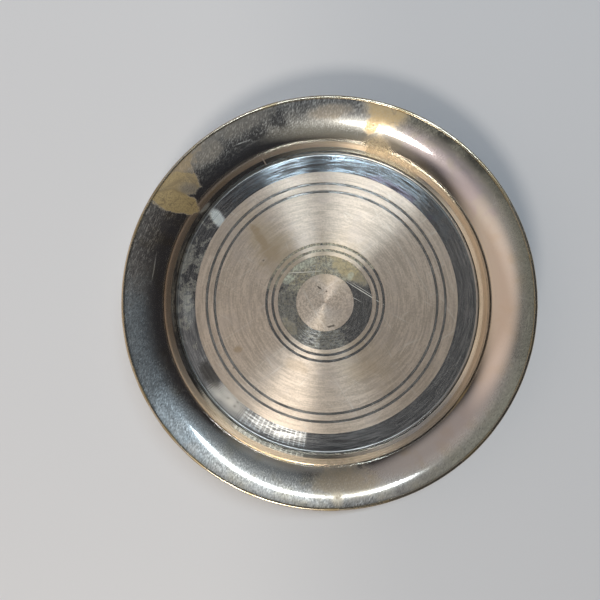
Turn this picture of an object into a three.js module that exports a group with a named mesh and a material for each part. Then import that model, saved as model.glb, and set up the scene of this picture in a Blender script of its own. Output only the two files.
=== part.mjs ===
// A round silver-plated dish: a flared rim spun from sheet, a turned floor seated on the ledge at
// its foot, and a half-round wire soldered along its edge.
// Millimetres, +Z up, standing on z = 0 with its axis on Z.
import * as THREE from 'three';

const { degToRad } = THREE.MathUtils;

// Overall size, taken over the edge wire
const PLATE_DIAMETER = 140;
const PLATE_HEIGHT = 15.4;

// Flared rim: its slope is measured from the horizontal
const RIM_SHEET = 0.8;
const EDGE_SLOPE = degToRad(15);
const WALL_SLOPE = degToRad(73);
const FOOT_BEND_INSIDE = 1;
const LEDGE_WIDTH = 2.5;

// Edge wire: a flat back with straight shoulders, then a half round
const WIRE_THICKNESS = 1.6;
const WIRE_SHOULDER = 0.2;

// Turned floor and the cove along its edge
const FLOOR_THICKNESS = 1;
const COVE_RADIUS = 0.9;
const COVE_LAND = 0.2;

// Bright cuts in the floor, from the centre outwards and then from the cove inwards
const CUT_DEPTH = 0.1;
const LINE_WIDTH = 1;
const CENTRE_MARK_RADIUS = 0.5;
const CENTRE_MARK_DEPTH = 0.25;
const CENTRE_DISC_RADIUS = 10.45;
const INNER_BAND_WIDTH = 6.85;
const INNER_LAND = 1.35;
const INNER_LINE_LAND = 1.27;
const OUTER_BAND_WIDTH = 6.2;
const OUTER_LAND = 3.8;
const OUTER_LINE_LAND = 1.95;

// Film of solder between neighbouring pieces
const SOLDER_GAP = 0.1;

// Fineness of the turned surfaces
const SIDES = 64;
const BEND_STEPS = 4;
const FLARE_STEPS = 10;
const COVE_STEPS = 4;
const SEAT_STEPS = 2;
const WIRE_STEPS = 8;

const QUARTER_TURN = Math.PI / 2;

// The end of the sheet, midway through its thickness. The wire beyond it reaches the overall size.
const wireRadius = WIRE_THICKNESS / 2;
const wireReach = SOLDER_GAP + WIRE_SHOULDER;
const sheetEnd = new THREE.Vector2(
  PLATE_DIAMETER / 2 - wireRadius - wireReach * Math.cos(EDGE_SLOPE),
  PLATE_HEIGHT - wireRadius - wireReach * Math.sin(EDGE_SLOPE),
);

// The flare is one arc about a centre below the rim, and the foot bend is one about a centre inside it.
const bendRadius = FOOT_BEND_INSIDE + RIM_SHEET / 2;
const wallFootHeight = RIM_SHEET / 2 + bendRadius * (1 - Math.cos(WALL_SLOPE));
const flareRadius = (sheetEnd.y - wallFootHeight) / (Math.cos(EDGE_SLOPE) - Math.cos(WALL_SLOPE));
const flareCentre = new THREE.Vector2(
  sheetEnd.x + flareRadius * Math.sin(EDGE_SLOPE),
  sheetEnd.y - flareRadius * Math.cos(EDGE_SLOPE),
);
const bendCentre = new THREE.Vector2(
  flareCentre.x - (flareRadius + bendRadius) * Math.sin(WALL_SLOPE),
  RIM_SHEET + FOOT_BEND_INSIDE,
);

// Angles on those two arcs where the sheet has a given slope
const onFlare = (slope) => QUARTER_TURN + slope;
const onBend = (slope) => slope - QUARTER_TURN;

// Levels of the floor
const floorBottom = RIM_SHEET + SOLDER_GAP;
const floorTop = floorBottom + FLOOR_THICKNESS;
const brightLevel = floorTop - CUT_DEPTH;

// Points along a circular arc, both ends included
function arc(centre, radius, from, to, steps) {
  return new THREE.EllipseCurve(centre.x, centre.y, radius, radius, from, to, to < from).getPoints(steps);
}

function point(radius, height) {
  return new THREE.Vector2(radius, height);
}

// A piece turned about Z from a profile of (radius, height) points
function turned(name, profile, finish) {
  const geometry = new THREE.LatheGeometry(profile, SIDES).rotateX(QUARTER_TURN);
  const mesh = new THREE.Mesh(geometry, finish);
  mesh.name = name;
  return mesh;
}

// Ledge, foot bend and flare: out along the underside, back along the polished side
function rimProfile() {
  const ledgeRadius = bendCentre.x - LEDGE_WIDTH;
  const outerBend = FOOT_BEND_INSIDE + RIM_SHEET;
  const underside = flareRadius - RIM_SHEET / 2;
  const polishedSide = flareRadius + RIM_SHEET / 2;
  return [
    point(ledgeRadius, 0),
    ...arc(bendCentre, outerBend, onBend(0), onBend(WALL_SLOPE), BEND_STEPS),
    ...arc(flareCentre, underside, onFlare(WALL_SLOPE), onFlare(EDGE_SLOPE), FLARE_STEPS).slice(1),
    ...arc(flareCentre, polishedSide, onFlare(EDGE_SLOPE), onFlare(WALL_SLOPE), FLARE_STEPS),
    ...arc(bendCentre, FOOT_BEND_INSIDE, onBend(WALL_SLOPE), onBend(0), BEND_STEPS).slice(1),
    point(ledgeRadius, RIM_SHEET),
    point(ledgeRadius, 0),
  ];
}

// Half-round section, square to the end of the sheet
function wireProfile() {
  const along = point(Math.cos(EDGE_SLOPE), Math.sin(EDGE_SLOPE));
  const across = point(-Math.sin(EDGE_SLOPE), Math.cos(EDGE_SLOPE));
  const back = sheetEnd.clone().addScaledVector(along, SOLDER_GAP);
  const roundCentre = back.clone().addScaledVector(along, WIRE_SHOULDER);
  const backBottom = back.clone().addScaledVector(across, -wireRadius);
  const backTop = back.clone().addScaledVector(across, wireRadius);
  const halfRound = arc(
    roundCentre,
    wireRadius,
    EDGE_SLOPE - QUARTER_TURN,
    EDGE_SLOPE + QUARTER_TURN,
    WIRE_STEPS,
  );
  return [backBottom, ...halfRound, backTop, backBottom.clone()];
}

// A bright ring cut below the satin face, between two radii
function brightCut(inner, outer) {
  return [
    point(inner, floorTop),
    point(inner, brightLevel),
    point(outer, brightLevel),
    point(outer, floorTop),
  ];
}

// Two bright lines outwards from a radius, with a satin land between them
function linePair(start, land) {
  const second = start + LINE_WIDTH + land;
  return [...brightCut(start, start + LINE_WIDTH), ...brightCut(second, second + LINE_WIDTH)];
}

// The floor's face with its bright cuts, its cove, its seat against the wall and its underside
function floorProfile() {
  const seatRadius = flareRadius + RIM_SHEET / 2 + SOLDER_GAP;
  const coveReach = seatRadius + COVE_LAND + COVE_RADIUS;
  const coveHeight = brightLevel + COVE_RADIUS;
  const coveRise = coveHeight - flareCentre.y;
  const coveCentre = point(flareCentre.x - Math.sqrt(coveReach ** 2 - coveRise ** 2), coveHeight);
  const coveAngle = coveCentre.clone().sub(flareCentre).angle();

  const innerBandEnd = CENTRE_DISC_RADIUS + INNER_BAND_WIDTH;
  const outerBandStart = coveCentre.x - OUTER_BAND_WIDTH;
  const outerLinesStart = outerBandStart - OUTER_LAND - 2 * LINE_WIDTH - OUTER_LINE_LAND;
  return [
    point(0, floorTop - CENTRE_MARK_DEPTH),
    point(CENTRE_MARK_RADIUS, floorTop),
    ...brightCut(CENTRE_DISC_RADIUS, innerBandEnd),
    ...linePair(innerBandEnd + INNER_LAND, INNER_LINE_LAND),
    ...linePair(outerLinesStart, OUTER_LINE_LAND),
    point(outerBandStart, floorTop),
    point(outerBandStart, brightLevel),
    ...arc(coveCentre, COVE_RADIUS, -QUARTER_TURN, coveAngle - Math.PI, COVE_STEPS),
    ...arc(flareCentre, seatRadius, coveAngle, onFlare(WALL_SLOPE), SEAT_STEPS),
    ...arc(bendCentre, FOOT_BEND_INSIDE - SOLDER_GAP, onBend(WALL_SLOPE), onBend(0), BEND_STEPS).slice(1),
    point(0, floorBottom),
  ].reverse();
}

const polishedSilver = new THREE.MeshStandardMaterial({ color: 0xc9c2b4, roughness: 0.14, metalness: 1 });
const satinSilver = new THREE.MeshStandardMaterial({ color: 0xc4bbae, roughness: 0.34, metalness: 1 });
const wornSilver = new THREE.MeshStandardMaterial({ color: 0xb8a77f, roughness: 0.2, metalness: 1 });

const plate = new THREE.Group();
plate.add(turned('flared_rim', rimProfile(), polishedSilver));
plate.add(turned('turned_floor', floorProfile(), satinSilver));
plate.add(turned('edge_wire', wireProfile(), wornSilver));

export default plate;
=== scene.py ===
"""Looks of a small round silver-plated dish, in metres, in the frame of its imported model.

The dish is spun and turned: a polished rim that flares out of a steep wall, a turned floor with
bright-cut rings, and a half-round wire along the edge.
"""

import logging
import math
from dataclasses import dataclass
from enum import Enum, IntEnum
from functools import cached_property, partial, reduce
from typing import Any

import bmesh
import bpy
from bmesh.types import BMesh
from bpy.types import Material, Node, NodeSocket, Object, World
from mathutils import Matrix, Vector


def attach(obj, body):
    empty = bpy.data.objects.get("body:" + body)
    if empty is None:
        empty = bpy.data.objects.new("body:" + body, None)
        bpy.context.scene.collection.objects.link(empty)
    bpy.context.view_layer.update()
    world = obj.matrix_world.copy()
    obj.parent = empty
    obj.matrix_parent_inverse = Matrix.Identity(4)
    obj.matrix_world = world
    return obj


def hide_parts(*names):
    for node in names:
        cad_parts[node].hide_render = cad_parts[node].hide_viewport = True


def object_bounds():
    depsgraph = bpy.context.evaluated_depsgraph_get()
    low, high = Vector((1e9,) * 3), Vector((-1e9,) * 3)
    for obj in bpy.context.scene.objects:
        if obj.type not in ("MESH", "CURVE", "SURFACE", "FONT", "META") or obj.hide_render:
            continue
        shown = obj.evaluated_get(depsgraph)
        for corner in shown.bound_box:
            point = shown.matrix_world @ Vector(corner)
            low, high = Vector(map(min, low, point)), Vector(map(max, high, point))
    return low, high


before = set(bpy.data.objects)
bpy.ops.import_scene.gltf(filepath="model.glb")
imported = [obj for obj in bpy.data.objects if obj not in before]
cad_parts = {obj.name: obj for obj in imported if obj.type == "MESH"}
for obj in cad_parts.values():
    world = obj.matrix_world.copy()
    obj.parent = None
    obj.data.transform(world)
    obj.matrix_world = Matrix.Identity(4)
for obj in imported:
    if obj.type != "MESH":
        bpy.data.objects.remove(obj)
CAD_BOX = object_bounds()

LOG = logging.getLogger("dish")
MM = 0.001
PER_MM = 1.0 / MM
HALF_TURN = 180.0
AXIS_CLEARANCE = 0.001 * MM
NOISE_MIDDLE = 0.5
BODY = "root"
TURNED_SHEEN = {"Anisotropic": 1.0, "Anisotropic Rotation": 0.25}

Colour = tuple[float, float, float]

WARM_LIGHT: Colour = (1.0, 0.90, 0.78)
COOL_LIGHT: Colour = (0.86, 0.95, 1.0)


def cosine(degrees: float) -> float:
    """Returns the cosine of an angle in degrees."""
    return math.cos(math.radians(degrees))


@dataclass(frozen=True)
class Value:
    """A shader value whose arithmetic adds Math nodes to its graph."""

    graph: "Graph"
    socket: NodeSocket

    def __add__(self, other: "Value | float") -> "Value":
        """Returns the sum."""
        return self.graph.math("ADD", self, other)

    def __sub__(self, other: "Value | float") -> "Value":
        """Returns the difference."""
        return self.graph.math("SUBTRACT", self, other)

    def __rsub__(self, other: float) -> "Value":
        """Returns a number minus this value."""
        return self.graph.math("SUBTRACT", other, self)

    def __mul__(self, other: "Value | float") -> "Value":
        """Returns the product."""
        return self.graph.math("MULTIPLY", self, other)

    def __truediv__(self, other: "Value | float") -> "Value":
        """Returns the quotient."""
        return self.graph.math("DIVIDE", self, other)

    __radd__ = __add__
    __rmul__ = __mul__

    @property
    def swing(self) -> "Value":
        """A noise's swing to both sides of its middle."""
        return self - NOISE_MIDDLE


@dataclass(frozen=True)
class Mark:
    """An oval mark on the dish, placed from above.

    Attributes:
        x: Place of its middle to the right of the axis, in mm.
        y: Place of its middle behind the axis, in mm.
        length: Full length, in mm.
        width: Full width, in mm.
        turn: Direction of its length, in degrees from +X.
        depth: How strong it is, from 0 to 1.
    """

    x: float
    y: float
    length: float
    width: float
    turn: float
    depth: float = 1.0


@dataclass(frozen=True)
class Zone:
    """A soft-edged stretch of a turned face.

    Attributes:
        azimuth: Direction of its middle from the axis, in degrees from +X.
        full: Angle to each side within which it is at full strength. At 180 it goes all the way round.
        edge: Angle to each side at which it ends.
        inner: Radius where it starts, in mm.
        outer: Radius where it ends, in mm.
        soft: Half the width of its inner and outer edges, in mm.
        depth: How strong it is, from 0 to 1.
    """

    azimuth: float
    full: float
    edge: float
    inner: float
    outer: float
    soft: float
    depth: float = 1.0


@dataclass(frozen=True)
class Hairs:
    """A set of fine scratches that run roughly one way.

    Attributes:
        turn: Their direction, in degrees from +X.
        per_mm: Their number in one millimetre across.
        stretch: How much longer than wide their swells are.
    """

    turn: float
    per_mm: float
    stretch: float


Marks = tuple[Mark, ...]
Zones = tuple[Zone, ...]
HairSets = tuple[Hairs, ...]


class Graph:
    """A node tree that is filled by expressions and by add()."""

    def __init__(self, owner: Material | World) -> None:
        """Starts an empty tree.

        Args:
            owner: The material or world whose tree it is.
        """
        owner.use_nodes = True
        self.owner = owner
        self.tree = owner.node_tree
        self.tree.nodes.clear()

    @classmethod
    def material(cls, name: str) -> "Graph":
        """Returns the graph of a new material."""
        return cls(bpy.data.materials.new(name))

    def add(self, kind: str, settings: dict[str, Any], inputs: dict[str | int, Any]) -> Node:
        """Adds one node.

        Args:
            kind: The node's type.
            settings: Its properties, set first.
            inputs: Links, values or colours of its sockets, by name or index.

        Returns:
            The node.
        """
        node = self.tree.nodes.new(kind)
        for name, setting in settings.items():
            setattr(node, name, setting)
        for name, given in inputs.items():
            socket = node.inputs[name]
            source = given.socket if isinstance(given, Value) else given
            if isinstance(source, NodeSocket):
                self.tree.links.new(source, socket)
            elif socket.type == "RGBA":
                socket.default_value = (*source, 1.0)
            else:
                socket.default_value = source
        return node

    def value(self, kind: str, settings: dict[str, Any], inputs: dict[str | int, Any]) -> Value:
        """Returns the first output of a new node, with add()'s arguments."""
        return Value(self, self.add(kind, settings, inputs).outputs[0])

    def math(self, operation: str, *operands: Value | float) -> Value:
        """Returns the result of a Math node."""
        return self.value("ShaderNodeMath", {"operation": operation}, dict(enumerate(operands)))

    def vector_math(self, operation: str, *operands: Any) -> Node:
        """Returns a Vector Math node, whose outputs are Vector and Value."""
        return self.add("ShaderNodeVectorMath", {"operation": operation}, dict(enumerate(operands)))

    @cached_property
    def place(self) -> NodeSocket:
        """The place on the piece, in metres."""
        return self.add("ShaderNodeTexCoord", {}, {}).outputs["Object"]

    def split(self, vector: NodeSocket) -> list[Value]:
        """Returns the three parts of a vector."""
        node = self.add("ShaderNodeSeparateXYZ", {}, {0: vector})
        return [Value(self, part) for part in node.outputs]

    def join(self, x: Value | float, y: Value | float, z: Value | float) -> NodeSocket:
        """Returns a vector made of three parts."""
        return self.add("ShaderNodeCombineXYZ", {}, {0: x, 1: y, 2: z}).outputs[0]

    def noise(
        self,
        per_mm: float,
        detail: float = 2.0,
        roughness: float = 0.5,
        distortion: float = 0.0,
        at: NodeSocket | None = None,
    ) -> Value:
        """Adds a noise that runs from about 0.3 to 0.7.

        Args:
            per_mm: Its swells in one millimetre.
            detail: Octaves of finer noise on top.
            roughness: Strength of the finer octaves.
            distortion: How much it swirls.
            at: Where it is read, in metres. It is the place on the piece unless given.

        Returns:
            The noise.
        """
        inputs = {
            "Vector": self.place if at is None else at,
            "Scale": per_mm * PER_MM,
            "Detail": detail,
            "Roughness": roughness,
            "Distortion": distortion,
        }
        return self.value("ShaderNodeTexNoise", {}, inputs)

    def step(self, value: Value, start: float, end: float) -> Value:
        """Returns a smooth step, which is 0 at start and 1 at end. The end may lie below the start."""
        settings = {"interpolation_type": "SMOOTHSTEP"}
        return self.value("ShaderNodeMapRange", settings, {0: value, 1: start, 2: end})

    def ridge(self, value: Value, middle: float, half: float) -> Value:
        """Returns a smooth ridge, which is 1 at its middle and 0 beyond half its width."""
        return self.step(value, middle - half, middle) * self.step(value, middle + half, middle)

    def mix(self, mask: Value | float, first: Any, second: Any, blend: str = "MIX") -> NodeSocket:
        """Returns two colours mixed by the share of the second."""
        settings = {"data_type": "RGBA", "blend_type": blend}
        return self.add("ShaderNodeMix", settings, {0: mask, 6: first, 7: second}).outputs[2]

    def layers(self, base: Any, *layers: tuple[Value, Any]) -> NodeSocket:
        """Lays colours over each other.

        Args:
            base: The lowest colour.
            layers: Each mask with the colour that it lets through, upwards.

        Returns:
            The colour.
        """
        colour = base
        for mask, layer in layers:
            colour = self.mix(mask, colour, layer)
        return colour

    def mark(self, mark: Mark, edge: Value | float, soft: float) -> Value:
        """Adds the mask of one mark.

        Args:
            mark: The mark.
            edge: What pushes its edge in and out, as a share of its half size.
            soft: Half the width of its edge, as a share of its half size.

        Returns:
            Its depth inside it and 0 outside.
        """
        inputs = {
            "Vector": self.place,
            "Location": (mark.x * MM, mark.y * MM, 0.0),
            "Rotation": (0.0, 0.0, math.radians(mark.turn)),
            "Scale": (mark.length * MM / 2, mark.width * MM / 2, 1.0),
        }
        local = self.add("ShaderNodeMapping", {"vector_type": "TEXTURE"}, inputs).outputs[0]
        reach = Value(self, self.vector_math("LENGTH", local).outputs["Value"])
        return self.step(reach + edge, 1.0 + soft, 1.0 - soft) * mark.depth

    def marks(self, marks: Marks, edge: Value | float, soft: float) -> Value:
        """Returns the strongest of several marks' masks, with mark()'s arguments."""
        return self.strongest([self.mark(mark, edge, soft) for mark in marks])

    def strongest(self, masks: list[Value]) -> Value:
        """Returns the strongest of several masks."""
        return reduce(partial(self.math, "MAXIMUM"), masks)

    def drawn(self, turn: float, stretch: float) -> NodeSocket:
        """Adds a place in which a noise is drawn out one way.

        Args:
            turn: That way, in degrees from +X.
            stretch: How much longer than wide its swells are.

        Returns:
            That place.
        """
        inputs = {
            "Vector": self.place,
            "Rotation": (0.0, 0.0, math.radians(turn)),
            "Scale": (stretch, 1.0, 1.0),
        }
        return self.add("ShaderNodeMapping", {"vector_type": "TEXTURE"}, inputs).outputs[0]

    def hairlines(self, sets: HairSets) -> Value:
        """Adds several sets of fine scratches.

        Args:
            sets: The sets.

        Returns:
            Their mask.
        """
        masks = []
        for hairs in sets:
            local = self.drawn(hairs.turn, hairs.stretch)
            swell = self.math("ABSOLUTE", self.noise(hairs.per_mm, 1.0, at=local).swing)
            gaps = self.step(self.noise(hairs.per_mm * 1.7, 1.0, at=local), 0.5, 0.65)
            masks.append(self.step(swell, 0.014, 0.002) * gaps)
        return self.strongest(masks)

    def bump(self, height: Value, rise: float) -> NodeSocket:
        """Returns the normal of a bump that rises by so many mm from a height of 0 to 1."""
        inputs = {"Height": height, "Strength": 1.0, "Distance": rise * MM}
        return self.add("ShaderNodeBump", {}, inputs).outputs[0]

    def shader(self, inputs: dict[str, Any]) -> NodeSocket:
        """Returns a Principled shader."""
        return self.add("ShaderNodeBsdfPrincipled", {}, inputs).outputs[0]

    def glow(self, colour: Any) -> NodeSocket:
        """Returns an Emission shader of a colour, which isn't sampled as a lamp."""
        self.owner.cycles.emission_sampling = "NONE"
        return self.add("ShaderNodeEmission", {}, {"Color": colour, "Strength": 1.0}).outputs[0]

    def surface(self, shader: NodeSocket) -> Material:
        """Ends the tree with a shader and returns its material."""
        self.add("ShaderNodeOutputMaterial", {}, {"Surface": shader})
        return self.owner

    def blend(self, share: Value | float, first: NodeSocket, second: NodeSocket) -> Material:
        """Ends the tree with two shaders, mixed by the share of the second, and returns its material."""
        return self.surface(self.add("ShaderNodeMixShader", {}, {0: share, 1: first, 2: second}).outputs[0])


@dataclass(frozen=True)
class Turning:
    """Where a point lies on a turned piece: its radius, and its direction from the axis."""

    graph: Graph
    radius: Value
    across: Value
    along: Value

    @classmethod
    def of(cls, graph: Graph) -> "Turning":
        """Works it out.

        Args:
            graph: The material's graph.

        Returns:
            The radius in metres, and the direction's two parts.
        """
        x, y, _ = graph.split(graph.place)
        radius = graph.math("SQRT", x * x + y * y) + AXIS_CLEARANCE
        return cls(graph, radius, x / radius, y / radius)

    def lines(self, reach: float) -> NodeSocket:
        """Returns a place in which a noise is drawn out along circles, longer for a smaller reach in mm."""
        return self.graph.join(self.across * (reach * MM), self.along * (reach * MM), self.radius)

    def spokes(self, count: int, start: float) -> Value:
        """Returns thin radial lines of a number in a full turn, thinner for a higher start, up to 1."""
        angle = self.graph.math("ARCTAN2", self.along, self.across)
        return self.graph.step(self.graph.math("COSINE", angle * count), start, 1.0)

    def zone(self, zone: Zone, wander: Value | float = 0.0) -> Value:
        """Adds the mask of one zone.

        Args:
            zone: The zone.
            wander: What is added to the cosine of the angle from its middle, to push its ends about.

        Returns:
            Its depth inside it and 0 outside.
        """
        graph = self.graph
        rise = graph.step(self.radius, (zone.inner - zone.soft) * MM, (zone.inner + zone.soft) * MM)
        fall = graph.step(self.radius, (zone.outer + zone.soft) * MM, (zone.outer - zone.soft) * MM)
        ring = rise * fall * zone.depth
        if zone.full >= HALF_TURN:
            return ring
        middle = math.radians(zone.azimuth)
        toward = self.across * math.cos(middle) + self.along * math.sin(middle)
        return ring * graph.step(toward + wander, cosine(zone.edge), cosine(zone.full))

    def zones(self, zones: Zones, wander: Value | float = 0.0) -> Value:
        """Returns the strongest of several zones' masks, with zone()'s arguments."""
        return self.graph.strongest([self.zone(zone, wander) for zone in zones])


@dataclass(frozen=True)
class PolishedSilver:
    """The polished side of the rim, with haze, hairlines, golden film and a crust of old lacquer.

    Its grain rises by grain_rise and sets in from the radius open_from to open_to, all in mm. The wall
    band's cream colour is a painted reflection of the floor, its darker left part is painted shade, and its
    blue-grey tint is a painted reflection of cool light.
    """

    name: str = "polished_silver"
    silver: Colour = (0.62, 0.60, 0.57)
    yellowed: Colour = (0.59, 0.54, 0.45)
    rosy: Colour = (0.64, 0.57, 0.54)
    violet: Colour = (0.57, 0.53, 0.60)
    greenish: Colour = (0.57, 0.58, 0.50)
    # Blue-grey tint of the rim: a painted reflection of cool light.
    painted_cool_reflection: Colour = (0.54, 0.60, 0.64)
    # Cream colour of the wall band: a painted reflection of the floor.
    wall: Colour = (0.90, 0.80, 0.66)
    # Dark colour of the wall band's left part: painted shade.
    wall_shade: Colour = (0.40, 0.35, 0.31)
    gold: Colour = (0.58, 0.47, 0.28)
    brown: Colour = (0.40, 0.33, 0.23)
    lacquer: Colour = (0.43, 0.34, 0.18)
    lacquer_vein: Colour = (0.24, 0.19, 0.11)
    polish_roughness: float = 0.09
    scuff_roughness: float = 0.38
    grain_rise: float = 0.0018
    open_from: float = 56.5
    open_to: float = 60.0
    hairs: HairSets = (Hairs(25, 0.35, 9), Hairs(80, 0.30, 8), Hairs(150, 0.32, 10))
    crust: Marks = (
        Mark(-52.6, 35.3, 14.6, 7.6, -8),
        Mark(-50.9, 40.6, 15.5, 7.8, 18, 0.88),
    )
    notch: Mark = Mark(-47.4, 39.6, 6.4, 3.6, -15, 0.3)
    swirls: Marks = (
        Mark(-47.4, 39.6, 7, 2.4, 22, 0.9),
        Mark(-51.6, 41.2, 7, 1.1, 31, 0.7),
        Mark(-55.3, 38.5, 6.5, 1, 17, 0.7),
        Mark(-51.2, 38.7, 3.2, 1.1, -27, 0.7),
        Mark(-45.9, 42.9, 4.4, 0.9, -36, 0.6),
    )
    veils: Marks = (
        Mark(-50.8, 46.4, 20, 8.5, 50),
        Mark(-41, 52, 14, 7, 38, 0.4),
        Mark(-30, 61, 26, 7, 26, 0.3),
        Mark(6, -61.5, 22, 9, 5, 0.75),
        Mark(1.5, 65, 15, 4.2, 6, 0.55),
    )
    scratches: Marks = (
        Mark(-21.4, 50.4, 4.1, 0.35, -54),
        Mark(-28.5, 55.5, 5, 0.3, 20, 0.4),
        Mark(-60, 12, 9, 0.3, 80, 0.3),
    )
    films: Marks = (
        Mark(20.5, 64.6, 15, 10, -16),
        Mark(16.2, 61, 5, 6, -30),
        Mark(18.8, 53.8, 11, 7, -32, 0.7),
        Mark(26.5, 49, 16, 3.6, -32, 0.6),
        Mark(4.2, -66.4, 4, 5, 0, 0.4),
    )
    hazes: Zones = (
        Zone(118, 22, 42, 61, 72, 3, 0.10),
        Zone(92, 8, 20, 61, 71, 2.5, 0.14),
        Zone(160, 20, 60, 62, 72, 3, 0.06),
    )
    breath: Zones = (
        Zone(205, 18, 50, 62, 72, 3, 0.13),
        Zone(180, 100, 140, 64, 72, 5, 0.06),
        Zone(350, 30, 60, 63.5, 70, 2.5, 0.24),
        Zone(318, 18, 42, 63.5, 70, 2, 0.34),
        Zone(40, 20, 50, 64, 70, 2, 0.06),
        Zone(63, 7, 18, 62.5, 70.5, 2, 0.20),
    )
    scuffs: Zones = (
        Zone(0, 180, 180, 60, 72, 3, 0.03),
        Zone(248, 30, 55, 60, 74, 2.5, 0.42),
        Zone(240, 20, 42, 66, 74, 2, 0.92),
        Zone(87, 11, 24, 60, 72, 2.5, 0.34),
        Zone(185, 50, 90, 62, 72, 3, 0.16),
        Zone(55, 10, 25, 60, 70, 2, 0.10),
    )
    smooth_zone: Zone = Zone(345, 45, 75, 40, 80, 1)
    rosy_zone: Zone = Zone(345, 10, 50, 58, 64, 3, 0.7)
    violet_zone: Zone = Zone(47, 6, 22, 59, 65.5, 2, 0.8)
    greenish_zones: Zones = (
        Zone(350, 25, 65, 66, 72, 2.5),
        Zone(45, 10, 35, 66.5, 72, 1.5),
    )
    # Where the painted reflection of cool light tints the rim.
    cool_reflection_zones: Zones = (
        Zone(203, 14, 36, 61, 72, 3),
        Zone(103, 22, 42, 58, 72, 2, 0.75),
    )
    # Where the painted shade darkens the wall band, on the left.
    wall_shade_zone: Zone = Zone(152, 34, 62, 50, 58, 0.6, 0.8)
    # Where the painted reflection of the floor lies on the wall.
    wall_reflection_zones: Zones = (
        Zone(22, 42, 72, 50, 58, 0.6),
        Zone(255, 25, 50, 50, 58, 0.6),
    )

    def material(self) -> Material:
        """Makes the finish.

        Returns:
            Its material.
        """
        graph = Graph.material(self.name)
        turning = Turning.of(graph)
        cloud = graph.noise(0.16, 3.0)
        sway = graph.noise(0.24, 3.0, 0.5, 1.2).swing
        speck = graph.noise(2.2, 2.0, 0.6)
        contour = graph.noise(0.2, 0.0, 0.5, 0.6)
        rubbed = graph.noise(2.6, 2.0, 0.6, at=graph.drawn(70.0, 5.0)).swing
        scoured = graph.noise(2.6, 2.0, 0.6, at=graph.drawn(64.0, 2.2)).swing
        open_face = graph.step(turning.radius, self.open_from * MM, self.open_to * MM)
        smooth = turning.zone(self.smooth_zone)
        grain = rubbed * open_face * (1.0 - smooth * 0.6)
        wander = cloud.swing * 0.25

        hairs = graph.hairlines(self.hairs)
        scratches = graph.marks(self.scratches, 0.0, 0.5)
        lobes = graph.marks(self.crust, sway * 0.55 + speck.swing * 0.14, 0.08)
        crust = lobes * (1.0 - graph.mark(self.notch, sway * 1.2, 0.5))
        films = graph.marks(self.films, sway * 0.8, 0.32) * (0.4 + speck * 1.1)
        veils = graph.marks(self.veils, sway * 1.2, 0.4) * (0.55 + speck * 0.9)
        rub = 0.35 + graph.step(grain, 0.0, 0.16) * 2.6
        rough_rub = 1.0 + scoured * (1.0 - smooth * 0.5) * 2.6
        hazes = turning.zones(self.hazes, wander) * rub
        haze = graph.strongest([hazes, turning.zones(self.breath, wander) * rough_rub])
        scuffs = turning.zones(self.scuffs, wander) * rough_rub * (0.6 + rub * 0.4)

        film_veins = graph.ridge(contour, 0.56, 0.06) + speck.swing * 2.0
        crust_veins = graph.ridge(contour, 0.47, 0.03) + (speck - 0.44) * 4.0
        swirls = graph.marks(self.swirls, sway * 1.6, 0.5)
        lacquer = graph.mix(graph.strongest([crust_veins, swirls]), self.lacquer, self.lacquer_vein)
        colour = graph.layers(
            self.silver,
            (graph.step(cloud, 0.45, 0.75), self.yellowed),
            # Painted reflection of the floor on the wall band.
            (turning.zones(self.wall_reflection_zones), self.wall),
            # Painted shade on the wall band's left part.
            (turning.zone(self.wall_shade_zone), self.wall_shade),
            (turning.zone(self.rosy_zone, wander), self.rosy),
            (turning.zone(self.violet_zone, wander), self.violet),
            (turning.zones(self.greenish_zones, wander), self.greenish),
            # Painted reflection of cool light on the rim.
            (turning.zones(self.cool_reflection_zones, wander), self.painted_cool_reflection),
            (films, graph.mix(film_veins * 0.8, self.gold, self.brown)),
            (veils, self.brown),
            (crust, lacquer),
        )
        dull = haze + hairs * 0.08 + films * 0.4 + veils * 0.7 + scratches * 0.8
        shared = {
            "Base Color": colour,
            "Metallic": 1.0 - graph.strongest([dull, crust * 0.75]),
            "Normal": graph.bump(grain + cloud * 3.0, self.grain_rise),
        }
        worn = films * 0.30 + veils * 0.1 + crust * 0.3
        polish = graph.shader({**shared, "Roughness": self.polish_roughness + grain * 0.12 + worn})
        scuff = graph.shader({**shared, "Roughness": self.scuff_roughness + grain * 0.10 + worn})
        return graph.blend(scuffs, polish, scuff)


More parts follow.
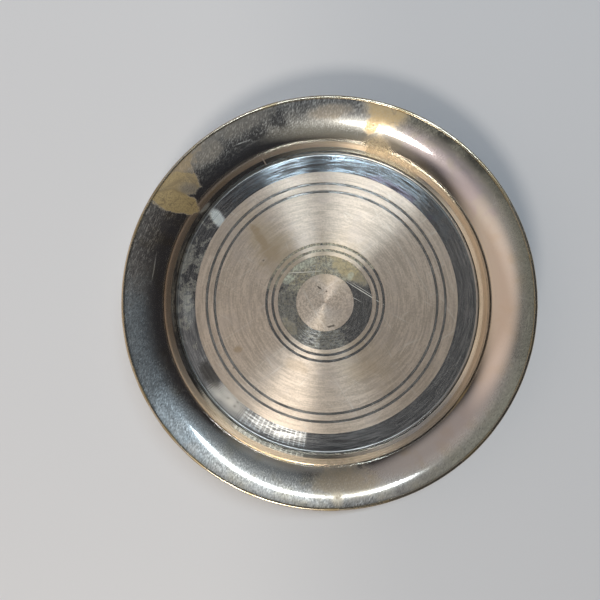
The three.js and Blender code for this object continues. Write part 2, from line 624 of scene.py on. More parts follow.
@dataclass(frozen=True)
class TurnedSatin:
    """A satin face of the floor: fine circular tool lines, scuffs and faint brown stains.

    Its lines rise by line_rise, in mm. The grit is the share of specks in what darkens them.
    """

    name: str = "turned_satin"
    silver: Colour = (0.74, 0.655, 0.57)
    dark_line: Colour = (0.52, 0.457, 0.39)
    scuff: Colour = (0.80, 0.77, 0.72)
    yellowed: Colour = (0.58, 0.49, 0.36)
    stain: Colour = (0.46, 0.36, 0.24)
    blotch: Colour = (0.59, 0.525, 0.475)
    pit: Colour = (0.10, 0.09, 0.075)
    grain_roughness: float = 0.62
    line_rise: float = 0.0045
    sheen_share: float = 0.5
    sheen_roughness: float = 0.32
    grit: float = 0.3
    hairs: HairSets = (Hairs(35, 0.5, 22), Hairs(120, 0.45, 20), Hairs(-30, 0.4, 24))
    stains: Marks = (
        Mark(-25.5, 26.6, 5, 2.6, 130, 0.55),
        Mark(-23, 22.5, 8, 3, 120, 0.5),
        Mark(-20, 18.5, 8, 6, 60, 0.35),
        Mark(-32.1, -17.4, 3.2, 2.4, 30, 0.6),
        Mark(-10.5, -23, 9, 4, 160, 0.3),
        Mark(14, -25, 12, 7, 20, 0.25),
    )
    pits: Marks = (
        Mark(-2, 5.4, 2.2, 0.6, -35, 0.9),
        Mark(0.6, 4.1, 0.8, 0.6, 0, 0.8),
        Mark(2.4, -8.6, 3, 0.7, 12, 0.8),
        Mark(-22.5, 15.5, 0.9, 0.6, 40, 0.6),
        Mark(-33.5, -24, 0.8, 0.5, 10, 0.6),
    )
    yellowing: Marks = (
        Mark(-19, 20, 26, 12, 130, 0.7),
        Mark(3, 15, 20, 16, 0, 0.5),
        Mark(12, -18, 30, 16, -35, 0.35),
    )

    def material(self) -> Material:
        """Makes the finish.

        Returns:
            Its material.
        """
        graph = Graph.material(self.name)
        turning = Turning.of(graph)
        fine = graph.noise(2.6, 3.0, 0.8, at=turning.lines(1.6))
        coarse = graph.noise(1.0, 3.0, 0.8, at=turning.lines(3.0))
        sway = graph.noise(0.3, 4.0, 0.6).swing
        speck = graph.noise(1.5, 3.0, 0.75)
        blotches = graph.step(graph.noise(0.13, 4.0, 0.65), 0.48, 0.64)
        streaked = coarse * 0.45 + speck * self.grit + fine * (0.55 - self.grit)
        stains = graph.marks(self.stains, sway * 1.6, 0.45)
        colour = graph.layers(
            self.dark_line,
            (graph.step(streaked, 0.42, 0.58), self.silver),
            (blotches * 0.45, self.blotch),
            (graph.marks(self.yellowing, sway * 2.4, 0.7), self.yellowed),
            (graph.hairlines(self.hairs) * 0.4, self.scuff),
            (stains + graph.step(speck, 0.62, 0.8) * 0.5, self.stain),
            (graph.marks(self.pits, speck.swing * 1.6, 0.4), self.pit),
        )
        shared = {
            "Base Color": colour,
            "Metallic": 1.0,
            "Normal": graph.bump(fine + coarse * 0.5, self.line_rise),
        }
        grain_roughness = self.grain_roughness + coarse.swing * 0.10 + stains * 0.05
        sheen_roughness = self.sheen_roughness + fine.swing * 0.12
        grain = graph.shader({**shared, "Roughness": grain_roughness})
        sheen = graph.shader({**shared, **TURNED_SHEEN, "Roughness": sheen_roughness})
        return graph.blend(self.sheen_share, grain, sheen)


@dataclass(frozen=True)
class BrightCut:
    """The mirror-bright rings that the tool cut into the floor, with tool lines, film and grime.

    Its lines rise by line_rise, in mm. Spokes and hatch are numbers of radial strokes in a full turn. The
    dark colour along the cove is painted shade, beside real dirt marks, and the blue tint at the top is
    partly a painted reflection of the cool strips.
    """

    name: str = "bright_cut"
    silver: Colour = (0.79, 0.82, 0.835)
    lined: Colour = (0.50, 0.525, 0.54)
    # Blue of the band's top: partly iridescent tarnish, partly a painted reflection of the cool strip
    # lamps.
    blue_tint_and_reflection: Colour = (0.48, 0.62, 0.735)
    purple: Colour = (0.58, 0.46, 0.66)
    film: Colour = (0.44, 0.405, 0.30)
    pale_film: Colour = (0.47, 0.46, 0.37)
    yellow_film: Colour = (0.46, 0.40, 0.24)
    mint: Colour = (0.44, 0.49, 0.42)
    scratch: Colour = (0.62, 0.63, 0.60)
    smear: Colour = (0.46, 0.53, 0.53)
    haze: Colour = (0.68, 0.66, 0.61)
    # Dark colour of the dirt marks and of the painted shade along the cove.
    grime_and_shade: Colour = (0.17, 0.16, 0.14)
    mirror_roughness: float = 0.06
    tooled_roughness: float = 0.20
    line_rise: float = 0.002
    tool_share: float = 0.165
    spokes: int = 172
    hatch: int = 430
    hairs: HairSets = (Hairs(-28, 0.35, 9), Hairs(60, 0.30, 9))
    # Where the blue tint, partly a painted reflection of the cool strips, lies.
    blue_tint_and_reflection_zone: Zone = Zone(82, 30, 60, 47, 56, 1, 0.75)
    purple_zone: Zone = Zone(56, 4, 16, 47.5, 50, 1.2, 0.55)
    dust_zone: Zone = Zone(350, 70, 100, 46, 54, 1, 0.05)
    # Painted shade along the cove, which dims its highlight.
    cove_shade: Zone = Zone(0, 180, 180, 53.85, 60, 0.1, 0.62)
    films: Zones = (
        Zone(0, 180, 180, 9, 24, 1, 0.10),
        Zone(0, 180, 180, 38, 45, 1, 0.16),
        Zone(120, 25, 60, 9, 24, 0.5, 0.62),
        Zone(75, 20, 45, 9, 24, 0.5, 0.75),
        Zone(200, 30, 55, 9, 18, 0.5, 0.34),
        Zone(275, 20, 40, 9, 18, 0.5, 0.32),
        Zone(168, 4, 14, 46, 55, 1, 0.30),
    )
    yellow_films: Marks = (
        Mark(8.6, 11.6, 15.5, 5.4, -35, 0.8),
        Mark(-13, -8.5, 8, 3.4, 125, 0.3),
    )
    mints: Marks = (
        Mark(-13.3, 9, 5, 3, 20, 0.8),
        Mark(-8.5, 14, 9, 4, 30, 0.6),
        Mark(9.3, 9.6, 3, 2.2, 60, 0.7),
    )
    scratches: Marks = (
        Mark(14.3, 3.6, 14.7, 0.28, -32, 0.9),
        Mark(9.2, 2.4, 8.3, 0.2, -28, 0.7),
        Mark(13.6, 4.9, 9.3, 0.18, -32.5, 0.7),
        Mark(-8.5, 11.1, 13.2, 0.25, 2.6, 0.8),
    )
    smears: Marks = (
        Mark(-39.6, 31.2, 7.6, 4.2, 125, 0.55),
        Mark(-50.5, -2, 14, 4, 95, 0.2),
    )
    hazes: Marks = (
        Mark(-34.8, -36.6, 17, 11, -44, 0.9),
        Mark(-39.4, -34.2, 11, 6, -48, 0.8),
    )
    grimes: Marks = (
        Mark(-42.3, -26.6, 11, 5.6, -58, 0.7),
        Mark(-35.6, -35.1, 0.8, 0.7, 0, 0.9),
        Mark(-32.2, -36.7, 0.75, 0.7, 0, 0.9),
        Mark(-33.2, -38.2, 0.9, 0.8, 0, 0.9),
    )
    chatter: Zones = (
        Zone(247.5, 13.5, 15.5, 46, 53.6, 0.3, 0.9),
        Zone(247.5, 13.5, 16, 9, 18, 0.5, 0.42),
    )

    def material(self) -> Material:
        """Makes the finish.

        Returns:
            Its material.
        """
        graph = Graph.material(self.name)
        turning = Turning.of(graph)
        lines = graph.noise(2.8, 2.0, 0.6, at=turning.lines(2.4))
        swirl = graph.noise(0.35, 3.0, 0.6)
        speck = graph.noise(1.1, 4.0, 0.7)
        sway = swirl.swing
        wander = sway * 0.9
        grit = graph.step(speck, 0.36, 0.64) * 0.9 + 0.45
        streaks = graph.step(lines, 0.40, 0.60)

        films = turning.zones(self.films, wander) * grit
        yellow = graph.marks(self.yellow_films, sway * 1.2, 0.3) * (0.35 + speck * 1.1)
        mints = graph.marks(self.mints, sway * 2.0, 0.4) * grit
        smears = graph.marks(self.smears, sway * 0.6, 0.35)
        ragged = sway * 0.8 + turning.spokes(self.hatch, -0.5) * 0.7
        hazes = graph.marks(self.hazes, ragged, 0.35) * (0.7 + speck * 0.6)
        # Mask of the painted shade along the cove.
        cove_shade = turning.zone(self.cove_shade)
        grimes = graph.marks(self.grimes, speck.swing * 1.6, 0.35)
        scratches = graph.marks(self.scratches, 0.0, 0.5)
        grid = 0.25 + turning.spokes(self.spokes, 0.2) * 0.4 + streaks * 0.4
        chatter = turning.zones(self.chatter) * grid
        dust = turning.zone(self.dust_zone) * grit + 0.05

        colour = graph.layers(
            self.lined,
            (streaks, self.silver),
            # Blue tint, partly a painted reflection of the cool strips.
            (turning.zone(self.blue_tint_and_reflection_zone, wander) * streaks, self.blue_tint_and_reflection),
            (turning.zone(self.purple_zone, wander * 0.3), self.purple),
            (films * 1.6, graph.mix(graph.step(swirl, 0.42, 0.6), self.film, self.pale_film)),
            (yellow, self.yellow_film),
            (mints, self.mint),
            (smears, self.smear),
            (hazes, self.haze),
            # Painted shade along the cove, together with the dirt marks.
            (graph.strongest([cove_shade, grimes]), self.grime_and_shade),
            (scratches, self.scratch),
        )
        veiled = films * 0.6 + yellow * 0.6 + mints * 0.5 + smears * 0.8 + hazes
        dull = veiled + graph.hairlines(self.hairs) * 0.08 + scratches + dust
        shared = {
            "Base Color": colour,
            "Metallic": 1.0 - graph.math("MINIMUM", dull, 1.0),
            "Normal": graph.bump(lines, self.line_rise),
        }
        ripple = lines.swing * 0.06
        worn = films * 0.3 + smears * 0.4 + cove_shade * 0.35
        tooled_roughness = self.tooled_roughness + ripple + chatter * 0.12
        mirror = graph.shader({**shared, "Roughness": self.mirror_roughness + ripple + worn})
        tooled = graph.shader({**shared, **TURNED_SHEEN, "Roughness": tooled_roughness})
        return graph.blend(self.tool_share * (0.15 + streaks * 1.7) + chatter * 0.8, mirror, tooled)


@dataclass(frozen=True)
class PlainUnderside:
    """The side that stands on the table: polished less and yellowed more."""

    name: str = "plain_underside"
    silver: Colour = (0.76, 0.72, 0.65)
    yellowed: Colour = (0.70, 0.63, 0.50)
    roughness: float = 0.24
    line_rise: float = 0.004

    def material(self) -> Material:
        """Makes the finish.

        Returns:
            Its material.
        """
        graph = Graph.material(self.name)
        lines = graph.noise(1.4, 3.0, 0.6, at=Turning.of(graph).lines(6.0))
        yellowing = graph.step(graph.noise(0.08, 4.0, 0.6, 0.5), 0.34, 0.76)
        return graph.surface(graph.shader({
            "Base Color": graph.mix(yellowing, self.silver, self.yellowed),
            "Metallic": 1.0,
            "Roughness": self.roughness + lines.swing * 0.14 + yellowing * 0.10,
            "Normal": graph.bump(lines, self.line_rise),
        }))


@dataclass(frozen=True)
class WornWire:
    """The edge wire: silver worn thin over the brass."""

    name: str = "worn_silver_wire"
    silver: Colour = (0.62, 0.57, 0.47)
    brass: Colour = (0.43, 0.35, 0.22)
    roughness: float = 0.22
    grain_rise: float = 0.004

    def material(self) -> Material:
        """Makes the finish.

        Returns:
            Its material.
        """
        graph = Graph.material(self.name)
        grain = graph.noise(1.8, 2.0).swing
        worn = graph.step(graph.noise(0.09, 3.0, 0.6) + grain * 0.2, 0.46, 0.62)
        return graph.surface(graph.shader({
            "Base Color": graph.mix(worn, self.silver, self.brass),
            "Metallic": 1.0,
            "Roughness": self.roughness + worn * 0.10 + grain * 0.10,
            "Normal": graph.bump(grain, self.grain_rise),
        }))


class Outline:
    """A section drawn in the XZ plane, to be spun about Z."""

    SPIN_STEPS = 256
    MERGE_DISTANCE = 1e-7
    CORNER_ANGLE = math.radians(25)
    SMOOTH_ANGLE = math.radians(14)
    CORNER_SEGMENTS = 2

    def __init__(self, radius: float, height: float) -> None:
        """Starts the section.

        Args:
            radius: Distance of its first point from the axis.
            height: Height of that point.
        """
        self.mesh = bmesh.new()
        self.first = self.mesh.verts.new((radius, 0.0, height))
        self.last = self.first

    def line(self, radius: float, height: float) -> None:
        """Carries the section on to a point.

        Args:
            radius: The point's distance from the axis.
            height: Its height.
        """
        vertex = self.mesh.verts.new((radius, 0.0, height))
        self.mesh.edges.new((self.last, vertex))
        self.last = vertex

    def turn(self, centre: Vector, angle: float, steps: int) -> None:
        """Carries the section on along an arc.

        Args:
            centre: Radius and height of the arc's centre.
            angle: How far it turns, positive from outwards to upwards.
            steps: Its steps.
        """
        spun = bmesh.ops.spin(
            self.mesh,
            geom=[self.last],
            cent=(centre.x, 0.0, centre.y),
            axis=(0.0, -1.0, 0.0),
            angle=angle,
            steps=steps,
        )
        self.last = spun["geom_last"][0]

    def close(self) -> None:
        """Joins the section's end to its start."""
        self.mesh.edges.new((self.last, self.first))

    def spin(self, corner: float) -> BMesh:
        """Spins the section into a closed solid.

        Args:
            corner: Width of the rounding along its corners.

        Returns:
            The solid.
        """
        bmesh.ops.spin(
            self.mesh,
            geom=[*self.mesh.verts, *self.mesh.edges],
            cent=(0.0, 0.0, 0.0),
            axis=(0.0, 0.0, 1.0),
            angle=math.tau,
            steps=self.SPIN_STEPS,
            use_merge=True,
        )
        bmesh.ops.remove_doubles(self.mesh, verts=self.mesh.verts, dist=self.MERGE_DISTANCE)
        bmesh.ops.recalc_face_normals(self.mesh, faces=self.mesh.faces)
        bmesh.ops.bevel(
            self.mesh,
            geom=[edge for edge in self.mesh.edges if edge.calc_face_angle(0.0) > self.CORNER_ANGLE],
            offset=corner,
            offset_type="OFFSET",
            segments=self.CORNER_SEGMENTS,
            profile=0.5,
            affect="EDGES",
            material=-1,
            clamp_overlap=True,
        )
        for edge in self.mesh.edges:
            edge.smooth = edge.calc_face_angle(0.0) < self.SMOOTH_ANGLE
        for face in self.mesh.faces:
            face.smooth = True
        return self.mesh


@dataclass(frozen=True)
class RimSection:
    """The section that the three pieces share.

    Attributes:
        outer_radius: Radius over the edge wire.
        height: Height over the edge wire.
        sheet: Thickness of the rim's sheet.
        edge_slope: Slope of the sheet at its edge, from the horizontal.
        wall_slope: Slope of the wall at its foot.
        foot_bend: Inside radius of the bend at the wall's foot.
        ledge: Width of the ledge under the floor.
        wire: Thickness of the edge wire.
        shoulder: Straight part of the wire, before its half round.
        solder: Film of solder between neighbouring pieces.
    """

    outer_radius: float
    height: float
    sheet: float = 0.8 * MM
    edge_slope: float = math.radians(15)
    wall_slope: float = math.radians(73)
    foot_bend: float = 1.0 * MM
    ledge: float = 2.5 * MM
    wire: float = 1.6 * MM
    shoulder: float = 0.2 * MM
    solder: float = 0.1 * MM

    @property
    def along(self) -> Vector:
        """Direction of the sheet at its edge, outwards."""
        return Vector((math.cos(self.edge_slope), math.sin(self.edge_slope)))

    @property
    def across(self) -> Vector:
        """Direction through the sheet at its edge, upwards."""
        return Vector((-math.sin(self.edge_slope), math.cos(self.edge_slope)))

    @property
    def sheet_end(self) -> Vector:
        """End of the sheet, midway through its thickness."""
        round_centre = Vector((self.outer_radius - self.wire / 2, self.height - self.wire / 2))
        return round_centre - self.along * (self.solder + self.shoulder)

    @property
    def bend_radius(self) -> float:
        """Radius of the foot bend, midway through the sheet."""
        return self.foot_bend + self.sheet / 2

    @property
    def flare_radius(self) -> float:
        """Radius of the flare, midway through the sheet."""
        foot = self.sheet / 2 + self.bend_radius * (1 - math.cos(self.wall_slope))
        return (self.sheet_end.y - foot) / (math.cos(self.edge_slope) - math.cos(self.wall_slope))

    @property
    def flare_centre(self) -> Vector:
        """Centre of the flare's arc, below the rim."""
        return self.sheet_end - self.across * self.flare_radius

    @property
    def bend_centre(self) -> Vector:
        """Centre of the foot bend's arc, inside the wall."""
        reach = (self.flare_radius + self.bend_radius) * math.sin(self.wall_slope)
        return Vector((self.flare_centre.x - reach, self.sheet + self.foot_bend))


def link_mesh(name: str, mesh: BMesh, materials: list[Material]) -> Object:
    """Makes an object in the scene.

    Args:
        name: Its name.
        mesh: Its mesh, in place, which is freed.
        materials: Its materials, in the order of its faces' material slots.

    Returns:
        The object.
    """
    data = bpy.data.meshes.new(name)
    mesh.to_mesh(data)
    mesh.free()
    for material in materials:
        data.materials.append(material)
    made = bpy.data.objects.new(name, data)
    bpy.context.scene.collection.objects.link(made)
    return made


def place_piece(name: str, mesh: BMesh, finishes: list[Any], node: str) -> None:
    """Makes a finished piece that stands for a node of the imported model.

    Args:
        name: The piece's name.
        mesh: Its mesh, in place.
        finishes: Its finishes, in the order of its faces' material slots.
        node: The node that it replaces.
    """
    piece = link_mesh(name, mesh, [finish.material() for finish in finishes])
    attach(piece, BODY)
    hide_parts(node)
    LOG.info("%s: %d faces, for %s", name, len(piece.data.polygons), node)


class RimFace(IntEnum):
    """Material slots of the rim."""

    POLISHED = 0
    UNDERSIDE = 1


@dataclass(frozen=True)
class FlaredRim:
    """The wall and rim, spun from one sheet, with a ledge turned in at the foot.

    Its corners are rounded over the width corner, and a seam is left between its sheet and the wire.
    """

    section: RimSection
    corner: float = 0.06 * MM
    seam: float = 0.01 * MM
    bend_steps: int = 12
    flare_steps: int = 30

    def outline(self) -> Outline:
        """Draws the section, out along the underside and back along the polished side.

        Returns:
            The section.
        """
        section = self.section
        flare = section.wall_slope - section.edge_slope
        ledge_radius = section.bend_centre.x - section.ledge
        reach = section.sheet_end + section.along * (section.solder - self.seam)
        outline = Outline(ledge_radius, 0.0)
        outline.line(section.bend_centre.x, 0.0)
        outline.turn(section.bend_centre, section.wall_slope, self.bend_steps)
        outline.turn(section.flare_centre, -flare, self.flare_steps)
        for side in (-0.5, 0.5):
            outline.line(*(reach + section.across * (side * section.sheet)))
        outline.line(*(section.sheet_end + section.across * (section.sheet / 2)))
        outline.turn(section.flare_centre, flare, self.flare_steps)
        outline.turn(section.bend_centre, -section.wall_slope, self.bend_steps)
        outline.line(ledge_radius, section.sheet)
        outline.close()
        return outline

    def build(self) -> None:
        """Makes the rim."""
        mesh = self.outline().spin(self.corner)
        centre = self.section.flare_centre
        for face in mesh.faces:
            middle = face.calc_center_median()
            reach = (Vector((middle.xy.length, middle.z)) - centre).length
            polished = reach > self.section.flare_radius
            face.material_index = RimFace.POLISHED if polished else RimFace.UNDERSIDE
        finishes = [PolishedSilver(), PlainUnderside()]
        place_piece("polished_rim", mesh, finishes, "flared_rim")


class FloorFace(IntEnum):
    """Material slots of the floor."""

    SATIN = 0
    BRIGHT = 1
    UNDERSIDE = 2
    MIDDLE = 3


@dataclass(frozen=True)
class TurnedFloor:
    """The floor: a turned disc with bright-cut rings and a cove along its edge.

    Attributes:
        section: The section of the rim that it is seated in.
        thickness: Thickness of the disc.
        cove: Radius of the cove.
        land: Width of the top of the cove.
        cut: Depth of the bright cuts.
        line: Width of a bright line.
        mark_radius: Radius of the lathe's centre mark.
        mark_depth: Depth of that mark.
        disc: Radius of the satin disc in the middle.
        inner_band: Width of the bright band round it.
        inner_land: Satin between that band and the inner lines.
        inner_line_land: Satin between the inner lines.
        outer_band: Width of the bright band along the cove.
        outer_land: Satin between that band and the outer lines.
        outer_line_land: Satin between the outer lines.
        corner: Width of the rounding along its corners.
        support: Distance from the cove to the ring that keeps the outer band flat.
        cove_steps: Steps of the cove.
        seat_steps: Steps of its edge along the wall.
        bend_steps: Steps of its edge along the foot bend.
    """

    section: RimSection
    thickness: float = 1.0 * MM
    cove: float = 0.9 * MM
    land: float = 0.2 * MM
    cut: float = 0.1 * MM
    line: float = 1.0 * MM
    mark_radius: float = 0.5 * MM
    mark_depth: float = 0.25 * MM
    disc: float = 10.45 * MM
    inner_band: float = 6.85 * MM
    inner_land: float = 1.35 * MM
    inner_line_land: float = 1.27 * MM
    outer_band: float = 6.2 * MM
    outer_land: float = 3.8 * MM
    outer_line_land: float = 1.95 * MM
    corner: float = 0.03 * MM
    support: float = 0.15 * MM
    cove_steps: int = 10
    seat_steps: int = 2
    bend_steps: int = 8

    @property
    def bottom(self) -> float:
        """Height of its underside."""
        return self.section.sheet + self.section.solder

    @property
    def top(self) -> float:
        """Height of its satin face."""
        return self.bottom + self.thickness

    @property
    def bright(self) -> float:
        """Height of its bright cuts."""
        return self.top - self.cut

    @property
    def seat_radius(self) -> float:
        """Radius of its edge about the flare's centre."""
        return self.section.flare_radius + self.section.sheet / 2 + self.section.solder

    @property
    def cove_centre(self) -> Vector:
        """Centre of the cove's arc."""
        centre = self.section.flare_centre
        height = self.bright + self.cove
        reach = self.seat_radius + self.land + self.cove
        return Vector((centre.x - math.sqrt(reach ** 2 - (height - centre.y) ** 2), height))

    def cuts(self) -> list[tuple[float, float]]:
        """Works out the bright cuts, apart from the outer band.

        Returns:
            The inner and outer radius of each.
        """
        band_end = self.disc + self.inner_band
        inner = band_end + self.inner_land
        band_start = self.cove_centre.x - self.outer_band
        outer = band_start - self.outer_land - 2 * self.line - self.outer_line_land
        starts = [
            inner,
            inner + self.line + self.inner_line_land,
            outer,
            outer + self.line + self.outer_line_land,
        ]
        return [(self.disc, band_end), *((start, start + self.line) for start in starts)]

    def outline(self) -> Outline:
        """Draws the section, from the centre mark out along the face and back along the underside.

        Returns:
            The section.
        """
        section = self.section
        outline = Outline(0.0, self.top - self.mark_depth)
        outline.line(self.mark_radius, self.top)
        for inner, outer in self.cuts():
            outline.line(inner, self.top)
            outline.line(inner, self.bright)
            outline.line(outer, self.bright)
            outline.line(outer, self.top)
        cove_centre = self.cove_centre
        band_start = cove_centre.x - self.outer_band
        outline.line(band_start, self.top)
        outline.line(band_start, self.bright)
        outline.line(cove_centre.x - self.support, self.bright)
        outline.line(cove_centre.x, self.bright)

        out = cove_centre - section.flare_centre
        slope = math.atan2(out.y, -out.x)
        outline.turn(cove_centre, math.pi / 2 - slope, self.cove_steps)
        outline.line(*(section.flare_centre + out.normalized() * self.seat_radius))
        outline.turn(section.flare_centre, section.wall_slope - math.pi / 2 + slope, self.seat_steps)
        bend_start = section.bend_centre - section.flare_centre
        reach = section.foot_bend - section.solder
        outline.line(*(section.bend_centre - bend_start.normalized() * reach))
        outline.turn(section.bend_centre, -section.wall_slope, self.bend_steps)
        outline.line(0.0, self.bottom)
        return outline

    def face(self, radius: float, height: float) -> FloorFace:
        """Tells which face a point is on.

        Args:
            radius: The point's distance from the axis.
            height: Its height.

        Returns:
            The face.
        """
        if height < self.top - 2 * self.mark_depth:
            return FloorFace.UNDERSIDE
        if radius > self.cove_centre.x - self.outer_band:
            return FloorFace.BRIGHT
        if any(inner + self.corner < radius < outer - self.corner for inner, outer in self.cuts()):
            return FloorFace.BRIGHT
        return FloorFace.MIDDLE if radius < self.disc else FloorFace.SATIN

    def build(self) -> None:
        """Makes the floor."""
        mesh = self.outline().spin(self.corner)
        for face in mesh.faces:
            middle = face.calc_center_median()
            face.material_index = self.face(middle.xy.length, middle.z)
        middle_satin = TurnedSatin(
            "middle_satin",
            silver=(0.79, 0.705, 0.62),
            dark_line=(0.51, 0.445, 0.38),
            sheen_share=0.44,
            sheen_roughness=0.58,
            grit=0.55,
        )
        finishes = [TurnedSatin(), BrightCut(), PlainUnderside(), middle_satin]
        place_piece("turned_floor_disc", mesh, finishes, "turned_floor")


@dataclass(frozen=True)
class EdgeWire:
    """The half-round wire soldered along the edge, with corners rounded over the width corner."""

    section: RimSection
    corner: float = 0.05 * MM
    round_steps: int = 24

    def build(self) -> None:
        """Makes the wire."""
        section = self.section
        radius = section.wire / 2
        back = section.sheet_end + section.along * section.solder
        centre = back + section.along * section.shoulder
        outline = Outline(*(back - section.across * radius))
        outline.line(*(centre - section.across * radius))
        outline.turn(centre, math.pi, self.round_steps)
        outline.line(*(back + section.across * radius))
        outline.close()
        mesh = outline.spin(self.corner)
        place_piece("edge_bead", mesh, [WornWire()], "edge_wire")


def direction(azimuth: float, zenith: float) -> Vector:
    """Turns a place in the sky into a direction.

    Args:
        azimuth: Degrees from +X, towards +Y.
        zenith: Degrees from straight up.

    Returns:
        The unit vector that points there.
    """
    turn, lean = math.radians(azimuth), math.radians(zenith)
    level = math.sin(lean)
    return Vector((level * math.cos(turn), level * math.sin(turn), math.cos(lean)))


@dataclass(frozen=True)
class SoftPanel:
    """A soft patch of light on the tent.

    Attributes:
        azimuth: Its direction round the dish, in degrees from +X.
        zenith: Its middle's angle from straight up, in degrees.
        full: Angle from its middle within which it is at full strength.
        edge: Angle from its middle at which it ends.
        colour: Light that it gives.
    """

    azimuth: float
    zenith: float
    full: float
    edge: float
    colour: Colour


@dataclass(frozen=True)
class LightTent:
    """A dome of dark cloth with soft panels, which the silver mirrors and the camera looks through."""

    radius: float = 2.2
    segments: int = 48
    rings: int = 24
    cloth: Colour = (0.030, 0.028, 0.030)
    panels: tuple[SoftPanel, ...] = (
        SoftPanel(187, 64, 16, 42, (0.66, 0.535, 0.425)),
        SoftPanel(130, 55, 10, 37, (0.38, 0.34, 0.325)),
        SoftPanel(225, 42, 5, 34, (0.28, 0.26, 0.25)),
        SoftPanel(262, 64, 5, 30, (0.28, 0.24, 0.18)),
        SoftPanel(60, 57, 5, 28, (0.14, 0.165, 0.18)),
        SoftPanel(72, 88, 8, 26, (0.20, 0.20, 0.19)),
        SoftPanel(245, 88, 8, 26, (0.14, 0.12, 0.09)),
        SoftPanel(248, 47, 8, 22, (0.35, 0.30, 0.24)),
    )

    def material(self) -> Material:
        """Makes the cloth with its panels.

        Returns:
            Its material.
        """
        graph = Graph.material("tent_cloth")
        outwards = graph.vector_math("NORMALIZE", graph.place).outputs["Vector"]
        colour: Any = self.cloth
        for panel in self.panels:
            middle = direction(panel.azimuth, panel.zenith)
            near = Value(graph, graph.vector_math("DOT_PRODUCT", outwards, middle).outputs["Value"])
            patch = graph.step(near, cosine(panel.edge), cosine(panel.full))
            colour = graph.mix(patch, colour, panel.colour, "ADD")
        return graph.surface(graph.glow(colour))

    def build(self) -> None:
        """Makes the tent."""
        mesh = bmesh.new()
        bmesh.ops.create_uvsphere(mesh, u_segments=self.segments, v_segments=self.rings, radius=self.radius)
        bmesh.ops.bisect_plane(
            mesh,
            geom=[*mesh.verts, *mesh.edges, *mesh.faces],
            plane_co=(0.0, 0.0, 0.0),
            plane_no=(0.0, 0.0, 1.0),
            clear_inner=True,
        )
        tent = link_mesh("light_tent", mesh, [self.material()])
        tent.visible_camera = False
        LOG.info("light tent with %d panels", len(self.panels))


class LampShape(Enum):
    """Outlines of the studio lamps."""

    OVAL = "ELLIPSE"
    STRIP = "RECTANGLE"


@dataclass(frozen=True)
class StudioLamp:
    """A lamp above the dish, with its place and lengths as shares of the lamps' height.

    Attributes:
        name: Its name.
        shape: Its outline.
        place: Where it is.
        length: Its length.
        width: Its width.
        power: Its power in watts at a height of one metre.
        colour: The colour of its light.
        turn: Direction of a strip's length, in degrees from +X.
    """

    name: str
    shape: LampShape
    place: Vector
    length: float
    width: float
    power: float
    colour: Colour
    turn: float = 0.0

    def build(self, height: float) -> None:
        """Makes the lamp: an oval one faces the dish and a strip faces straight down.

        Args:
            height: The lamps' height.
        """
        light = bpy.data.lights.new(self.name, "AREA")
        light.shape = self.shape.value
        light.size = self.length * height
        light.size_y = self.width * height
        light.energy = self.power * height ** 2
        light.color = self.colour
        lamp = bpy.data.objects.new(self.name, light)
        lamp.location = self.place * height
        if self.shape is LampShape.OVAL:
            lamp.rotation_euler = (-self.place).to_track_quat("-Z", "Y").to_euler()
        else:
            lamp.rotation_euler = (0.0, 0.0, math.radians(self.turn))
        bpy.context.scene.collection.objects.link(lamp)
        LOG.info("%s at %s", self.name, tuple(round(part, 2) for part in lamp.location))


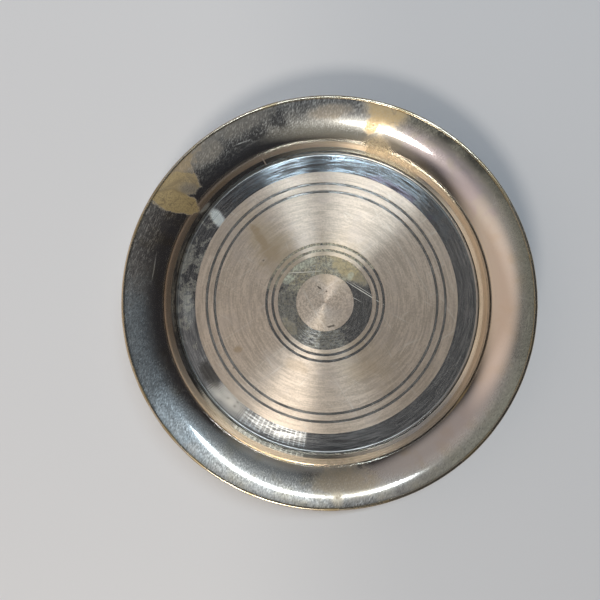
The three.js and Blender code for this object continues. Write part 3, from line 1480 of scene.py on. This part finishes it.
@dataclass(frozen=True)
class Studio:
    """The table, the backdrop, the light and the camera.

    The table's colour changes along X from shade_start to shade_end, and the backdrop's takes over from
    the radius fade_start to fade_end, all in metres. The camera leans towards +X and +Y by camera_lean,
    in degrees. Its sensor is in mm, and its focal length and its picture are in pixels.
    """

    table_radius: float = 1.6
    table_drop: float = 0.05 * MM
    table_sides: int = 96
    table_roughness: float = 0.6
    table_gloss: float = 0.2
    table_colour: Colour = (0.70, 0.725, 0.77)
    shaded_colour: Colour = (0.605, 0.635, 0.685)
    shade_start: float = -50.0 * MM
    shade_end: float = 40.0 * MM
    fade_start: float = 0.25
    fade_end: float = 1.0
    backdrop: Colour = (0.72, 0.72, 0.72)
    lamp_height: float = 1.3
    lamps: tuple[StudioLamp, ...] = (
        StudioLamp("warm_lamp", LampShape.OVAL, direction(251.0, 47.0), 0.36, 0.18, 4.5, WARM_LIGHT),
        StudioLamp(
            "long_strip", LampShape.STRIP, Vector((0.333, 0.528, 1.0)), 0.65, 0.08, 4.4, COOL_LIGHT, 20.5
        ),
        StudioLamp(
            "short_strip", LampShape.STRIP, Vector((-0.122, 0.440, 1.0)), 0.15, 0.06, 1.3, COOL_LIGHT, 165.0
        ),
    )
    image_size: float = 600.0
    focal_pixels: float = 451.0
    sensor: float = 36.0
    clip_start: float = 0.01
    camera_place: Vector = Vector((-2.11 * MM, 0.08 * MM, 166.85 * MM))
    camera_lean: tuple[float, float] = (-2.43, 0.30)

    def table_material(self) -> Material:
        """Makes the table's finish, whose far part is seen and mirrored in the backdrop's colour.

        Returns:
            Its material.
        """
        graph = Graph.material("pale_table")
        shade = graph.step(graph.split(graph.place)[0], self.shade_start, self.shade_end)
        top = graph.shader({
            "Base Color": graph.mix(shade, self.table_colour, self.shaded_colour),
            "Roughness": self.table_roughness,
            "Specular IOR Level": self.table_gloss,
        })
        path = graph.add("ShaderNodeLightPath", {}, {}).outputs
        seen = graph.strongest([Value(graph, path[ray]) for ray in ("Is Camera Ray", "Is Glossy Ray")])
        far = graph.step(Turning.of(graph).radius, self.fade_start, self.fade_end)
        return graph.blend(far * seen, top, graph.glow(self.backdrop))

    def table(self) -> None:
        """Makes the table."""
        mesh = bmesh.new()
        bmesh.ops.create_circle(mesh, cap_ends=True, segments=self.table_sides, radius=self.table_radius)
        bmesh.ops.translate(mesh, verts=mesh.verts, vec=(0.0, 0.0, -self.table_drop))
        table = link_mesh("table_top", mesh, [self.table_material()])

    def world(self) -> None:
        """Makes the pale backdrop."""
        world = bpy.data.worlds.new("backdrop")
        graph = Graph(world)
        light = graph.add("ShaderNodeBackground", {}, {"Color": self.backdrop, "Strength": 1.0})
        graph.add("ShaderNodeOutputWorld", {}, {"Surface": light.outputs[0]})
        bpy.context.scene.world = world

    def camera(self) -> None:
        """Makes the camera, which looks straight down with a slight lean."""
        data = bpy.data.cameras.new("camera")
        data.sensor_width = self.sensor
        data.lens = self.focal_pixels / self.image_size * self.sensor
        data.clip_start = self.clip_start
        camera = bpy.data.objects.new("camera", data)
        camera.location = self.camera_place
        lean_x, lean_y = (math.tan(math.radians(lean)) for lean in self.camera_lean)
        down = Vector((0.0, 0.0, -1.0))
        camera.rotation_euler = down.rotation_difference(Vector((lean_x, lean_y, -1.0))).to_euler()
        bpy.context.scene.collection.objects.link(camera)
        bpy.context.scene.camera = camera

    def build(self) -> None:
        """Makes the studio."""
        self.table()
        self.world()
        LightTent().build()
        for lamp in self.lamps:
            lamp.build(self.lamp_height)
        self.camera()
        bpy.context.scene.view_settings.view_transform = "Standard"


def main() -> None:
    """Builds the dish and the studio round it."""
    logging.basicConfig(level=logging.INFO, format="%(name)s: %(message)s")
    highest = CAD_BOX[1]
    section = RimSection(outer_radius=highest.x, height=highest.z)
    for part in (FlaredRim(section), TurnedFloor(section), EdgeWire(section)):
        part.build()
    Studio().build()


if __name__ == "__main__":
    main()
